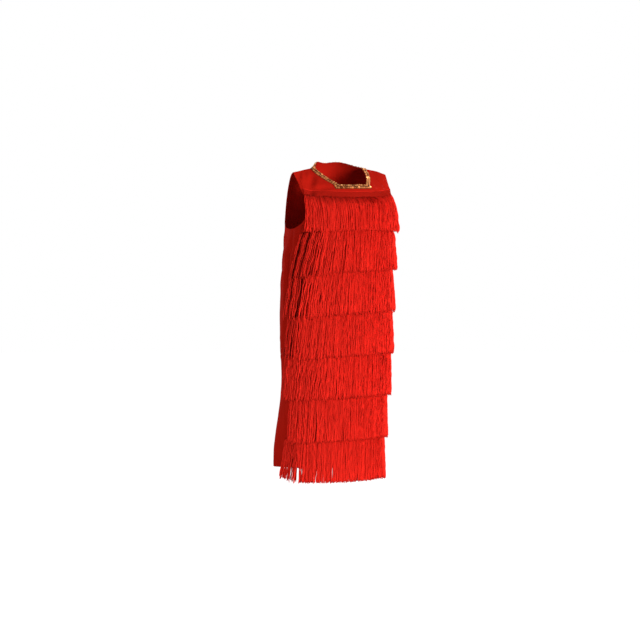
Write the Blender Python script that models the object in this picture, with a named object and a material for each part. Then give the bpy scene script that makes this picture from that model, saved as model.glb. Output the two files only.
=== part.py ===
# A child's flapper dress as it hangs when worn: a straight sleeveless shift, seven tiers
# of fringe across its front, and a sequin band round a square neckline.
# Metres. +X is the wearer's left, -Y the front, +Z up. The origin lies midway between
# the two points where the neckline meets the shoulder seams.

from collections import namedtuple
from math import atan2, cos, degrees, exp, hypot, radians, sin, sqrt, tan

import bmesh
import bpy
from mathutils import Vector

# Cloth
wall = 0.002
seam_gap = 0.0003
hem = -0.715
underarm = -0.148

# Shoulders and neckline
neck_point = 0.0665
neck_corner = 0.0385
neck_drop = 0.0425
neck_rounding = 1.9
back_corner = 0.030
shoulder_middle = 0.125
shoulder_slope = 0.19
shoulder_crown = 0.030
nape_rise = 0.035
nape_width = 0.045
neck_set_back = 0.0085
shoulder_tip = 0.134
chest_fall = 0.118
back_fall = 0.140

# Armholes: how far, in degrees, the edge stands in from the side seam
armhole_widest = -0.103
armhole_top = -0.016
armhole_inset = 29.0
armhole_top_inset = 20.0

# Neck trim
trim_width = 0.014
trim_thickness = 0.0015
trim_gap = 0.0004
trim_fall = 0.0104

# The back neckline and the lower edge of its trim: each dips below the shoulder line, most
# at the centre back and not at all where it meets the shoulder seam.
Scoop = namedtuple("Scoop", "depth half_width rounding")
back_neckline = Scoop(0.0300, neck_point, 2.5)
back_trim_edge = Scoop(0.0387, neck_point + trim_width, 2.74)

# Fringe: a woven heading tape with locks of strands hanging from it
tape_height = 0.018
tape_gap = 0.0006
tape_thickness = 0.0017
lock_pitch = 0.0112
lock_fill = 0.76
tip_narrowing = 0.86

# Bearings between which the lean of the locks changes
right_end = -88.0
right_side = -58.0
left_end = 88.0

# Level sections of the body, from the underarm down: half width, depth in front of the
# side seams and behind them, how far the section sways to the wearer's left, how far the
# cloth's grain tips up on the wearer's right in degrees, and the section's squareness.
Section = namedtuple("Section", "height half_width front back sway tip square")
sections = (
    Section(0.060, 0.140, 0.095, 0.095, 0.000, 0.0, 2.3),
    Section(-0.053, 0.140, 0.095, 0.096, 0.000, -0.9, 2.3),
    Section(-0.148, 0.139, 0.095, 0.100, -0.003, -0.3, 2.15),
    Section(-0.218, 0.141, 0.095, 0.107, -0.007, -1.6, 2.0),
    Section(-0.293, 0.143, 0.096, 0.110, -0.010, -2.5, 2.0),
    Section(-0.393, 0.144, 0.099, 0.101, -0.014, -2.5, 2.0),
    Section(-0.493, 0.140, 0.099, 0.084, -0.017, -1.4, 2.0),
    Section(-0.593, 0.133, 0.098, 0.086, -0.021, -0.8, 2.0),
    Section(-0.715, 0.129, 0.094, 0.088, -0.023, -0.8, 2.0),
    Section(-0.790, 0.128, 0.092, 0.088, -0.024, -0.8, 2.0),
)

# Soft flutes of the back's hem: bearing from the front in degrees, half width in degrees,
# how far each stands out at the hem, and the height where it dies away.
Flute = namedtuple("Flute", "bearing spread depth fades")
flutes = (
    Flute(-112.0, 15.0, 0.023, -0.483),
    Flute(-150.0, 13.0, -0.007, -0.553),
    Flute(176.0, 15.0, 0.009, -0.573),
    Flute(140.0, 12.0, -0.006, -0.593),
    Flute(114.0, 14.0, 0.010, -0.553),
)

# The tiers of fringe, top to bottom: height of the tape's upper edge in front, how far its
# two ends rise above that, their bearings, the drop from the tape's upper edge to the tips,
# how far the tips stand off the cloth, and how far the locks lean, in degrees, at the
# wearer's right end, at the right side, in front and at the left end.
Tier = namedtuple(
    "Tier", "top bow start stop drop flare lean_end lean_side lean_front lean_left"
)
tiers = (
    Tier(-0.059, 0.008, -61.0, 61.0, 0.094, 0.019, 0.0, -3.0, -1.0, 1.0),
    Tier(-0.146, 0.000, -70.0, 74.0, 0.104, 0.017, -13.0, -11.0, -3.0, 1.0),
    Tier(-0.246, 0.000, -87.0, 87.0, 0.104, 0.014, -3.0, -8.0, -3.0, 1.0),
    Tier(-0.346, 0.000, -87.0, 87.0, 0.104, 0.014, -3.0, -5.0, -2.0, 1.0),
    Tier(-0.446, 0.000, -87.0, 87.0, 0.103, 0.016, -8.0, -5.0, -1.0, 1.0),
    Tier(-0.546, 0.000, -87.0, 87.0, 0.105, 0.014, -3.0, -3.0, -1.0, 1.0),
    Tier(-0.647, 0.000, -87.0, 87.0, 0.103, 0.012, -14.0, -4.0, -1.0, 0.0),
)

# How a lock stands off the cloth: part of its length, and the offsets of its two faces
# as shares of the flare at the tips.
Stance = namedtuple("Stance", "along inner outer")
stances = (
    Stance(0.30, 0.18, 0.54),
    Stance(1.00, 0.72, 1.00),
)

# Grid of the panels. The crowding is the power by which rows draw together: those of the
# chest towards the underarm, those of the straps towards the shoulder seam.
panel_columns = 28
body_rows = 16
chest_rows = 6
strap_rows = 6
strap_columns = 9
chest_crowding = 1.25
front_strap_crowding = 1.2
back_strap_crowding = 1.7
tape_samples = 240

cloth_red = (0.46, 0.012, 0.008)
fringe_red = (0.62, 0.020, 0.012)
sequin_gold = (0.55, 0.27, 0.11)


def smooth(fraction):
    fraction = max(0.0, min(1.0, fraction))
    return fraction * fraction * (3 - 2 * fraction)


def section_at(height, name):
    """Value of one column of the sections at a height, on a smooth curve through the rows."""
    rows = sorted(sections)
    heights = [row.height for row in rows]
    values = [getattr(row, name) for row in rows]
    last = len(rows) - 1
    height = max(heights[0], min(heights[-1], height))
    place = max(k for k in range(last) if height >= heights[k])

    def slope(k):
        low = max(0, k - 1)
        high = min(last, k + 1)
        return (values[high] - values[low]) / (heights[high] - heights[low])

    step = heights[place + 1] - heights[place]
    t = (height - heights[place]) / step
    start = values[place] * (1 + 2 * t) * (1 - t) ** 2 + slope(place) * step * t * (1 - t) ** 2
    end = values[place + 1] * t * t * (3 - 2 * t) + slope(place + 1) * step * t * t * (t - 1)
    return start + end


def shoulder_line(x, front):
    """Height of the shoulder seam, and of the line that it would follow over the neck."""
    inside = hypot(neck_point, shoulder_crown) - hypot(x, shoulder_crown)
    nape = 0 if front else nape_rise * smooth(inside / nape_width)
    return shoulder_slope * inside + nape


def fullness(drop, front):
    """Share of the section's depth that the cloth has reached, at a drop below the shoulder.

    In front it slants straight off the shoulder seam; behind it is round from the seam on.
    """
    reach = max(0.0, min(1.0, drop / (chest_fall if front else back_fall)))
    share = 1 - (1 - reach) ** 2
    return share if front else sqrt(share)


def flute(bearing, height):
    """How far the cloth stands out in the soft folds of the hem."""
    total = 0.0
    for fold in flutes:
        away = (bearing - fold.bearing + 180) % 360 - 180
        total += fold.depth * exp(-(away / fold.spread) ** 2) * smooth(
            (fold.fades - height) / (fold.fades - hem)
        )
    return total


def raw_point(bearing, height):
    """Point of the cloth's outer face before its grain is tipped and its hem is fluted."""
    angle = radians(bearing)
    power = 2 / section_at(height, "square")
    side = abs(sin(angle)) ** power * (1 if sin(angle) > 0 else -1)
    x = section_at(height, "half_width") * side
    front = cos(angle) > 0
    depth = section_at(height, "front" if front else "back")
    drop = shoulder_line(x, front) - height
    depth *= fullness(drop, front) * abs(cos(angle)) ** power
    inwards = smooth((shoulder_tip - abs(x)) / (shoulder_tip - neck_point - trim_width))
    set_back = neck_set_back * inwards * (1 - smooth(drop / chest_fall))
    return x, set_back + (-depth if front else depth)


def cloth_point(bearing, height):
    """Point of the cloth's outer face: bearing 0 is the front, 90 the wearer's left side."""
    x, y = raw_point(bearing, height)
    spread = hypot(x, y)
    fluting = flute(bearing, height)
    if spread > 0:
        x += fluting * x / spread
        y += fluting * y / spread
    z = height - x * tan(radians(section_at(height, "tip")))
    return Vector((x + section_at(height, "sway"), y, z))


def outward(bearing, height):
    """Unit normal of the outer face. Along the shoulder seam it points straight up."""
    x, _ = raw_point(bearing, height)
    drop = shoulder_line(x, cos(radians(bearing)) > 0) - height
    if drop < 0.0002:
        return Vector((0, 0, 1))
    turn = 0.5
    rise = min(0.002, 0.5 * drop)
    across = cloth_point(bearing + turn, height) - cloth_point(bearing - turn, height)
    along = cloth_point(bearing, height + rise) - cloth_point(bearing, height - rise)
    return across.cross(along).normalized()


def off_cloth(bearing, height, offset):
    return cloth_point(bearing, height) + offset * outward(bearing, height)


def bearing_of(x, height):
    """Bearing in front at which the cloth stands at x, before its sway."""
    share = max(-1.0, min(1.0, x / section_at(height, "half_width")))
    side = abs(share) ** (section_at(height, "square") / 2)
    sign = 1 if share > 0 else -1
    return sign * degrees(atan2(side, sqrt(max(0.0, 1 - side * side))))


def armhole_bearing(height):
    """Bearing of the armhole's edge, from the side seam at the underarm to the shoulder."""
    if height <= underarm:
        return 90.0
    if height < armhole_widest:
        rise = (height - underarm) / (armhole_widest - underarm)
        return 90.0 - armhole_inset * sqrt(1 - (1 - rise) ** 2)
    rise = min(1.0, (height - armhole_widest) / (armhole_top - armhole_widest))
    return 90.0 - armhole_inset + (armhole_inset - armhole_top_inset) * rise ** 2


def armhole_x(height):
    """Half width of the front or back at the armhole's edge."""
    power = 2 / section_at(height, "square")
    return section_at(height, "half_width") * sin(radians(armhole_bearing(height))) ** power


def material(name, colour, roughness, metallic):
    made = bpy.data.materials.new(name)
    made.use_nodes = True
    shader = made.node_tree.nodes["Principled BSDF"]
    shader.inputs["Base Color"].default_value = (*colour, 1.0)
    shader.inputs["Roughness"].default_value = roughness
    shader.inputs["Metallic"].default_value = metallic
    made.diffuse_color = (*colour, 1.0)
    return made


def add_node(name, mesh, finish):
    bmesh.ops.recalc_face_normals(mesh, faces=mesh.faces[:])
    data = bpy.data.meshes.new(name)
    mesh.to_mesh(data)
    mesh.free()
    data.materials.append(finish)
    node = bpy.data.objects.new(name, data)
    bpy.context.collection.objects.link(node)
    data.shade_smooth()
    data.set_sharp_from_angle(angle=radians(40))
    return node


def thicken(mesh, inward):
    """Give an open sheet its thickness: each vertex's copy moves by the vector it carries."""
    made = bmesh.ops.extrude_face_region(mesh, geom=mesh.faces[:])
    copies = [item for item in made["geom"] if isinstance(item, bmesh.types.BMVert)]
    for vertex in copies:
        vertex.co += vertex[inward]
    return copies


# Panels. Each is a grid of rows from the hem to the shoulder seam. Above the neckline's
# lower edge a row is cut in two, one part for each strap. A place in the grid is a
# bearing and a height, and the same grid gives the trim its shape.

def dip(scoop, x):
    """How far a back neckline lies below the shoulder line."""
    return scoop.depth * (1 - (x / scoop.half_width) ** 2) ** scoop.rounding


def dip_x(scoop, depth):
    """The x at which it lies that far below."""
    return scoop.half_width * sqrt(1 - (depth / scoop.depth) ** (1 / scoop.rounding))


def neck_row(x, front):
    """Height of the row that holds the lower edge of the neckline."""
    if front:
        return -neck_drop
    return shoulder_line(x, front) - dip(back_neckline, min(abs(x), back_corner))


def seam_bearing(x, height):
    """Bearing of a place, kept clear of the side seam by half the gap."""
    limit = 90.0 - degrees(0.5 * seam_gap / section_at(height, "front"))
    return max(-limit, min(limit, bearing_of(x, height)))


def neck_edges(up, front):
    """The x of both edges of the trim on a strap, from the neck row, 0, to the seam, 1."""
    if front:
        share = 1 - (1 - up) ** neck_rounding
        inner = neck_corner + (neck_point - neck_corner) * share
        return inner, inner + trim_width
    depth = dip(back_neckline, back_corner) * (1 - up)
    return dip_x(back_neckline, depth), dip_x(back_trim_edge, depth)


def strap_place(column, row, front):
    """Place on the wearer's left strap, from the neckline outwards and the neck row up."""
    crowding = front_strap_crowding if front else back_strap_crowding
    up = 1 - (1 - row / strap_rows) ** crowding
    inner, band = neck_edges(up, front)
    if column == 0:
        x = inner
    else:
        edge_low = neck_row(shoulder_middle, front)
        edge_height = edge_low + (shoulder_line(shoulder_middle, front) - edge_low) * up
        share = (column - 1) / (strap_columns - 1)
        x = band + (armhole_x(edge_height) - band) * share
    low = neck_row(x, front)
    return x, low + (shoulder_line(x, front) - low) * up


def neck_columns(front):
    """The x of every column along the neck row, from the wearer's right to the left."""
    corner = neck_corner if front else back_corner
    middle = panel_columns - 2 * strap_columns
    left = [strap_place(column, 0, front)[0] for column in range(1, strap_columns + 1)]
    centre = [corner * (2 * k / middle - 1) for k in range(middle + 1)]
    return [-x for x in reversed(left)] + centre + left


def trim_turn(front):
    """The x at which the outer edge of the trim turns its corner."""
    outer = neck_edges(0, front)[1]
    return outer if front else 0.5 * (back_corner + outer)


def foot_row(front):
    """Places along the row that holds the lower edge of the trim."""
    columns = neck_columns(front)
    turn = trim_turn(front)
    columns[strap_columns - 1] = -turn
    columns[panel_columns - strap_columns + 1] = turn
    row = []
    for x in columns:
        if front:
            height = neck_row(x, front) - trim_fall
        else:
            height = shoulder_line(x, front) - dip(back_trim_edge, min(abs(x), turn))
        row.append((x, height))
    return row


def panel_grid(front):
    """Rows of places, as x and height. The rows above the neck row hold None in the middle."""
    rows = []
    for k in range(body_rows + 1):
        height = hem + (underarm - hem) * k / body_rows
        half = section_at(height, "half_width")
        power = 2 / section_at(height, "square")
        row = []
        for column in range(panel_columns + 1):
            angle = radians(180 * column / panel_columns - 90)
            side = abs(sin(angle)) ** power * (1 if angle > 0 else -1)
            row.append((half * side, height))
        rows.append(row)
    foot = foot_row(front)
    low = rows[-1]
    for k in range(1, chest_rows + 1):
        share = (k / chest_rows) ** chest_crowding
        row = []
        for column, (x, foot_height) in enumerate(foot):
            height = underarm + (foot_height - underarm) * share
            even = low[column][0] / low[-1][0]
            aimed = x / foot[-1][0]
            row.append((armhole_x(height) * (even + (aimed - even) * smooth(share)), height))
        rows.append(row)
    rows.append([(x, neck_row(x, front)) for x in neck_columns(front)])
    for k in range(1, strap_rows + 1):
        left = [strap_place(column, k, front) for column in range(strap_columns + 1)]
        right = [(-x, height) for x, height in reversed(left)]
        middle = [None] * (panel_columns - 2 * strap_columns - 1)
        rows.append(right + middle + left)
    return rows


def place_bearing(place, front):
    x, height = place
    bearing = seam_bearing(x, height)
    return bearing if front else 180.0 - bearing


def sheet_from(grid, cells, front, offset, thickness):
    """Wall over the named cells of a grid, its outer face at an offset from the cloth."""
    mesh = bmesh.new()
    inward = mesh.verts.layers.float_vector.new("inward")
    made = {}
    top = len(grid) - 1

    def vertex(row, column):
        if (row, column) not in made:
            place = grid[row][column]
            bearing = place_bearing(place, front)
            normal = Vector((0, 0, 1)) if row == top else outward(bearing, place[1])
            point = cloth_point(bearing, place[1])
            if row == top:
                point.y += (-0.5 if front else 0.5) * seam_gap
            made[row, column] = mesh.verts.new(point + offset * normal)
            made[row, column][inward] = -thickness * normal
        return made[row, column]

    for row, column in cells:
        corners = ((row, column), (row, column + 1), (row + 1, column + 1), (row + 1, column))
        mesh.faces.new([vertex(*corner) for corner in corners])
    thicken(mesh, inward)
    return mesh


def grid_cells(grid):
    cells = []
    for row in range(len(grid) - 1):
        for column in range(panel_columns):
            corners = (grid[row][column], grid[row][column + 1])
            corners += (grid[row + 1][column], grid[row + 1][column + 1])
            if None not in corners:
                cells.append((row, column))
    return cells


def trim_cells(grid):
    """The one ring of cells round the neckline."""
    foot = body_rows + chest_rows
    first = strap_columns - 1
    last = panel_columns - strap_columns
    cells = [(foot, column) for column in range(first, last + 1)]
    for row in range(foot + 1, len(grid) - 1):
        cells += [(row, first), (row, last)]
    return cells


# Fringe

def even_bearings(height, start, stop, count):
    """Bearings that part a level line of the cloth into equal lengths."""
    steps = [k / tape_samples for k in range(tape_samples + 1)]
    bearings = [start + (stop - start) * step for step in steps]
    points = [cloth_point(bearing, height) for bearing in bearings]
    lengths = [0.0]
    for before, after in zip(points, points[1:]):
        lengths.append(lengths[-1] + (after - before).length)
    found = []
    for k in range(count + 1):
        wanted = lengths[-1] * k / count
        place = max(index for index in range(tape_samples) if lengths[index] <= wanted)
        rest = (wanted - lengths[place]) / (lengths[place + 1] - lengths[place])
        found.append(bearings[place] + (bearings[place + 1] - bearings[place]) * rest)
    return found, lengths[-1]


def lean(tier, bearing):
    """How far a lock's tip has moved round the cloth, in degrees."""
    if bearing < right_side:
        share = smooth((bearing - right_end) / (right_side - right_end))
        return tier.lean_end + (tier.lean_side - tier.lean_end) * share
    if bearing < 0:
        share = smooth((bearing - right_side) / -right_side)
        return tier.lean_side + (tier.lean_front - tier.lean_side) * share
    return tier.lean_front + (tier.lean_left - tier.lean_front) * smooth(bearing / left_end)


def tape_columns(tier):
    """Bearings of both edges of every lock's root."""
    height = tier.top - tape_height
    _, length = even_bearings(height, tier.start, tier.stop, 1)
    count = round(length / lock_pitch)
    borders, _ = even_bearings(height, tier.start, tier.stop, count)
    columns = []
    for before, after in zip(borders, borders[1:]):
        middle = 0.5 * (before + after)
        half = 0.5 * lock_fill * (after - before)
        columns += [middle - half, middle + half]
    return columns


def tape_top(tier, bearing):
    return tier.top + tier.bow * (bearing / tier.stop) ** 2


def make_fringe(name, tier, finish):
    columns = tape_columns(tier)
    mesh = bmesh.new()
    inward = mesh.verts.layers.float_vector.new("inward")
    foot = mesh.verts.layers.int.new("foot")
    inside = mesh.verts.layers.int.new("inside")
    outer_face = tape_gap + tape_thickness
    rows = []
    for drop in (tape_height, 0):
        row = []
        for number, bearing in enumerate(columns):
            height = tape_top(tier, bearing) - drop
            vertex = mesh.verts.new(off_cloth(bearing, height, outer_face))
            vertex[inward] = -tape_thickness * outward(bearing, height)
            vertex[foot] = number + 1 if drop else 0
            row.append(vertex)
        rows.append(row)
    for k in range(len(columns) - 1):
        mesh.faces.new((rows[0][k], rows[0][k + 1], rows[1][k + 1], rows[1][k]))
    for vertex in thicken(mesh, inward):
        vertex[inside] = 1
    locks = []
    for face in mesh.faces:
        feet = {vertex[foot] for vertex in face.verts}
        if 0 not in feet and len(feet) == 2 and min(feet) % 2 == 1:
            locks.append(face)
    for stance in stances:
        locks = bmesh.ops.extrude_discrete_faces(mesh, faces=locks)["faces"]
        for face in locks:
            first = min(vertex[foot] for vertex in face.verts) - 1
            middle = 0.5 * (columns[first] + columns[first + 1])
            half = 0.5 * (columns[first + 1] - columns[first])
            half *= 1 - (1 - tip_narrowing) * stance.along
            moved = middle + lean(tier, middle) * stance.along
            root = tape_top(tier, middle) - tape_height
            height = root + (tier.top - tier.drop - root) * stance.along
            for vertex in face.verts:
                bearing = moved + (half if vertex[foot] - 1 > first else -half)
                offset = tier.flare * (stance.inner if vertex[inside] else stance.outer)
                vertex.co = off_cloth(bearing, height, offset)
    return add_node(name, mesh, finish)


def main():
    for old in list(bpy.data.objects):
        bpy.data.objects.remove(old)
    red_cloth = material("red_cloth", cloth_red, 0.75, 0.0)
    red_fringe = material("red_fringe", fringe_red, 0.6, 0.0)
    gold_sequins = material("gold_sequins", sequin_gold, 0.35, 0.8)
    for name, front in (("front", True), ("back", False)):
        grid = panel_grid(front)
        add_node(name, sheet_from(grid, grid_cells(grid), front, 0.0, wall), red_cloth)
        lift = trim_gap + trim_thickness
        band = sheet_from(grid, trim_cells(grid), front, lift, trim_thickness)
        add_node("neck_trim_" + name, band, gold_sequins)
    for number, tier in enumerate(tiers, start=1):
        make_fringe("fringe_tier_%d" % number, tier, red_fringe)


main()
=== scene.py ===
from bisect import bisect_left
from collections import namedtuple
from math import atan2, cos, degrees, exp, hypot, pi, radians, sin, sqrt, tan
from random import Random

import bmesh
import bpy
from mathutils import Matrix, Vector, noise


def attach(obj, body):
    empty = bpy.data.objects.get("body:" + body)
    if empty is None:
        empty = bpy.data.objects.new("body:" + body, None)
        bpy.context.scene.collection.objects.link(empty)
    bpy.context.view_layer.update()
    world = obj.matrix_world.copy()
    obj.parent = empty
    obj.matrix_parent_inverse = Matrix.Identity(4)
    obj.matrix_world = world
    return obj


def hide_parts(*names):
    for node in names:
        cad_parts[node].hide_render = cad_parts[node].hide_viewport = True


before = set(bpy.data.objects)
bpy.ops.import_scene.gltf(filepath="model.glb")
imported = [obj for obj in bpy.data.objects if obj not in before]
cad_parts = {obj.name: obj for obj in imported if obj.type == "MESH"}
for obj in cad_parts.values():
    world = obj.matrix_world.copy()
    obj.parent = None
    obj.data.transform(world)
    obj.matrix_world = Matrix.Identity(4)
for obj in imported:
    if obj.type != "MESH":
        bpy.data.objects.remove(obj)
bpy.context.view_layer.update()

# The form of the worn dress, in metres: +X is the wearer's left, -Y the front, +Z up
dress = {
    "hem": -0.715,
    "underarm": -0.148,
    "neckPoint": 0.0665,
    "neckCorner": 0.0385,
    "neckDrop": 0.0425,
    "neckRounding": 1.9,
    "backCorner": 0.030,
    "shoulderMiddle": 0.125,
    "shoulderSlope": 0.19,
    "shoulderCrown": 0.030,
    "napeRise": 0.035,
    "napeWidth": 0.045,
    "neckSetBack": 0.0085,
    "shoulderTip": 0.134,
    "chestFall": 0.118,
    "backFall": 0.140,
    "armholeWidest": -0.103,
    "armholeTop": -0.016,
    "armholeInset": 29.0,
    "armholeTopInset": 20.0,
    "seamGap": -0.0002,
    "trimWidth": 0.014,
    "trimFall": 0.0104,
    "cornerDroop": 0.0044,
    "droopFrom": 0.104,
    "droopWidth": 0.034,
    "droopFoot": -0.060,
    "droopRise": 0.045,
}

# Level sections, top to bottom: half width, depth before and behind the side seams, sway to
# the wearer's left, tip of the grain in degrees, squareness
Section = namedtuple("Section", "height halfWidth front back sway tip square")
sections = (
    Section(0.060, 0.140, 0.095, 0.095, 0.000, 0.0, 2.3),
    Section(-0.053, 0.140, 0.095, 0.096, 0.000, -0.9, 2.3),
    Section(-0.148, 0.139, 0.095, 0.100, -0.003, -0.3, 2.15),
    Section(-0.218, 0.141, 0.095, 0.107, -0.007, -1.6, 2.0),
    Section(-0.293, 0.143, 0.096, 0.110, -0.010, -2.5, 2.0),
    Section(-0.393, 0.144, 0.099, 0.101, -0.014, -2.5, 2.0),
    Section(-0.493, 0.140, 0.099, 0.084, -0.017, -1.4, 2.0),
    Section(-0.593, 0.133, 0.098, 0.086, -0.021, -0.8, 2.0),
    Section(-0.715, 0.129, 0.094, 0.088, -0.023, -0.8, 2.0),
    Section(-0.790, 0.128, 0.092, 0.088, -0.024, -0.8, 2.0),
)

# Soft flutes of the back's hem: bearing and half width in degrees, depth, height where it fades
Flute = namedtuple("Flute", "bearing spread depth fades")
flutes = (
    Flute(-112.0, 15.0, 0.023, -0.483),
    Flute(-150.0, 13.0, -0.007, -0.553),
    Flute(176.0, 15.0, 0.009, -0.573),
    Flute(140.0, 12.0, -0.006, -0.593),
    Flute(114.0, 14.0, 0.010, -0.553),
)
flutesTop = max(flute.fades for flute in flutes)
flutesFrom = 60.0  # bearing, on either side, that no flute reaches past

# The back neckline and its trim's lower edge dip below the shoulder line
Scoop = namedtuple("Scoop", "depth halfWidth rounding")
backNeckline = Scoop(0.0300, dress["neckPoint"], 2.5)
backTrimEdge = Scoop(0.0387, dress["neckPoint"] + dress["trimWidth"], 2.74)


def clamp(value, low=0.0, high=1.0):
    return max(low, min(high, value))


def smooth(fraction):
    fraction = clamp(fraction)
    return fraction * fraction * (3 - 2 * fraction)


def mix(a, b, share):
    return a + (b - a) * share


# A bearing as -180 to 180
def wrapped(bearing):
    return (bearing + 180) % 360 - 180


profileStep = 0.001  # metres of height


# One column of the sections as a smooth curve, read off at every step of the height
def profileOf(field):
    rows = sorted(sections)
    heights = [row.height for row in rows]
    values = [getattr(row, field) for row in rows]
    last = len(rows) - 1

    def slope(k):
        low, high = max(0, k - 1), min(last, k + 1)
        return (values[high] - values[low]) / (heights[high] - heights[low])

    curve = []
    for count in range(round((heights[-1] - heights[0]) / profileStep) + 1):
        height = heights[0] + count * profileStep
        k = max(k for k in range(last) if height >= heights[k] - 1e-9)
        span = heights[k + 1] - heights[k]
        t = (height - heights[k]) / span
        start = values[k] * (1 + 2 * t) * (1 - t) ** 2 + slope(k) * span * t * (1 - t) ** 2
        end = values[k + 1] * t * t * (3 - 2 * t) + slope(k + 1) * span * t * t * (t - 1)
        curve.append(start + end)
    return curve


profiles = {field: profileOf(field) for field in Section._fields[1:]}
lowestSection = min(row.height for row in sections)


def sectionAt(height, field):
    curve = profiles[field]
    place = clamp((height - lowestSection) / profileStep, 0.0, len(curve) - 1.001)
    k = int(place)
    return mix(curve[k], curve[k + 1], place - k)


# Height of the cloth's top edge at a distance from the centre; the back's rises to the nape
def shoulderLine(x, front):
    inside = hypot(dress["neckPoint"], dress["shoulderCrown"]) - hypot(x, dress["shoulderCrown"])
    nape = 0 if front else dress["napeRise"] * smooth(inside / dress["napeWidth"])
    return dress["shoulderSlope"] * inside + nape


# Share of the section's depth that the cloth has reached at a drop below the shoulder
def fullness(drop, front):
    reach = clamp(drop / dress["chestFall" if front else "backFall"])
    share = 1 - (1 - reach) ** 2
    return share if front else sqrt(share)


def fluting(bearing, height):
    total = 0.0
    for fold in flutes:
        away = wrapped(bearing - fold.bearing)
        fade = smooth((fold.fades - height) / (fold.fades - dress["hem"]))
        total += fold.depth * exp(-(away / fold.spread) ** 2) * fade
    return total


# x and y of the cloth before it sways, flutes and droops
def rawPoint(bearing, height):
    angle = radians(bearing)
    power = 2 / sectionAt(height, "square")
    side = abs(sin(angle)) ** power * (1 if sin(angle) > 0 else -1)
    x = sectionAt(height, "halfWidth") * side
    front = cos(angle) > 0
    depth = sectionAt(height, "front" if front else "back")
    drop = shoulderLine(x, front) - height
    depth *= fullness(drop, front) * abs(cos(angle)) ** power
    reach = dress["shoulderTip"] - dress["neckPoint"] - dress["trimWidth"]
    inwards = smooth((dress["shoulderTip"] - abs(x)) / reach)
    setBack = dress["neckSetBack"] * inwards * (1 - smooth(drop / dress["chestFall"]))
    return x, setBack + (-depth if front else depth)


# Point of the cloth's outer face: bearing 0 is the front, 90 the wearer's left side. The
# wearer's left shoulder droops at its outer corner.
def clothPoint(bearing, height):
    x, y = rawPoint(bearing, height)
    if height < flutesTop and abs(bearing) > flutesFrom:
        spread = hypot(x, y)
        out = fluting(bearing, height)
        x += out * x / spread
        y += out * y / spread
    z = height - x * tan(radians(sectionAt(height, "tip")))
    corner = smooth((x - dress["droopFrom"]) / dress["droopWidth"])
    z -= dress["cornerDroop"] * corner * smooth((height - dress["droopFoot"]) / dress["droopRise"])
    return Vector((x + sectionAt(height, "sway"), y, z))


# The cloth's direction is measured over a small turn and rise, and is upwards on the ridge
measuring = {
    "turn": 0.5,
    "rise": 0.002,
    "ridge": 0.0002,
}


def outward(bearing, height):
    x, _ = rawPoint(bearing, height)
    drop = shoulderLine(x, cos(radians(bearing)) > 0) - height
    if drop < measuring["ridge"]:
        return Vector((0, 0, 1))
    turn = measuring["turn"]
    rise = min(measuring["rise"], 0.5 * drop)
    across = clothPoint(bearing + turn, height) - clothPoint(bearing - turn, height)
    along = clothPoint(bearing, height + rise) - clothPoint(bearing, height - rise)
    return across.cross(along).normalized()


# The bearing at which the front reaches a distance from the centre
def bearingOf(x, height):
    share = clamp(x / sectionAt(height, "halfWidth"), -1.0, 1.0)
    side = abs(share) ** (sectionAt(height, "square") / 2)
    sign = 1 if share > 0 else -1
    return sign * degrees(atan2(side, sqrt(max(0.0, 1 - side * side))))


# The armhole's edge runs in from the side at the underarm, and back out to the shoulder
def armholeBearing(height):
    if height <= dress["underarm"]:
        return 90.0
    widest = dress["armholeWidest"]
    inset = dress["armholeInset"]
    if height < widest:
        rise = (height - dress["underarm"]) / (widest - dress["underarm"])
        return 90.0 - inset * sqrt(1 - (1 - rise) ** 2)
    rise = min(1.0, (height - widest) / (dress["armholeTop"] - widest))
    return 90.0 - inset + (inset - dress["armholeTopInset"]) * rise ** 2


# Distance to the side at a level, by the angle from the front
def levelX(height, angle):
    return sectionAt(height, "halfWidth") * sin(angle) ** (2 / sectionAt(height, "square"))


def armholeX(height):
    return levelX(height, radians(armholeBearing(height)))


# How far a scoop has dipped at a distance from the centre, and the distance for a dip
def dip(scoop, x):
    return scoop.depth * (1 - (x / scoop.halfWidth) ** 2) ** scoop.rounding


def dipX(scoop, depth):
    return scoop.halfWidth * sqrt(1 - (depth / scoop.depth) ** (1 / scoop.rounding))


# Places on a panel. The cutter's grid has 28 columns, from the wearer's right side to the
# left, and 29 rows: the body to 16, the chest to 22, the trim's width to 23, the straps to 29.
grid = {
    "columns": 28,
    "bodyRows": 16,
    "footRow": 22,
    "neckRow": 23,
    "topRow": 29,
    "neckColumn": 5,  # half of the neckline's width, counted from the centre
    "chestCrowding": 1.25,
    "frontCrowding": 1.2,
    "backCrowding": 1.7,
}
middleColumn = grid["columns"] / 2


def neckRowHeight(x, front):
    if front:
        return -dress["neckDrop"]
    return shoulderLine(x, front) - dip(backNeckline, min(abs(x), dress["backCorner"]))


# Both edges of the trim on a strap, from the neck row, 0, to the shoulder seam, 1
def neckEdges(up, front):
    if front:
        share = 1 - (1 - up) ** dress["neckRounding"]
        inner = mix(dress["neckCorner"], dress["neckPoint"], share)
        return inner, inner + dress["trimWidth"]
    depth = dip(backNeckline, dress["backCorner"]) * (1 - up)
    return dipX(backNeckline, depth), dipX(backTrimEdge, depth)


# Places by the columns outwards from the neckline's corner: on a strap, on the row at the
# neckline's foot, and on the row below it where the trim ends
def strapPlace(strap, up, front):
    inner, band = neckEdges(up, front)
    middle = dress["shoulderMiddle"]
    edgeHeight = mix(neckRowHeight(middle, front), shoulderLine(middle, front), up)
    strapColumns = middleColumn - grid["neckColumn"]
    if strap <= 1:
        x = mix(inner, band, strap)
    else:
        x = mix(band, armholeX(edgeHeight), (strap - 1) / (strapColumns - 1))
    return x, mix(neckRowHeight(x, front), shoulderLine(x, front), up)


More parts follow.
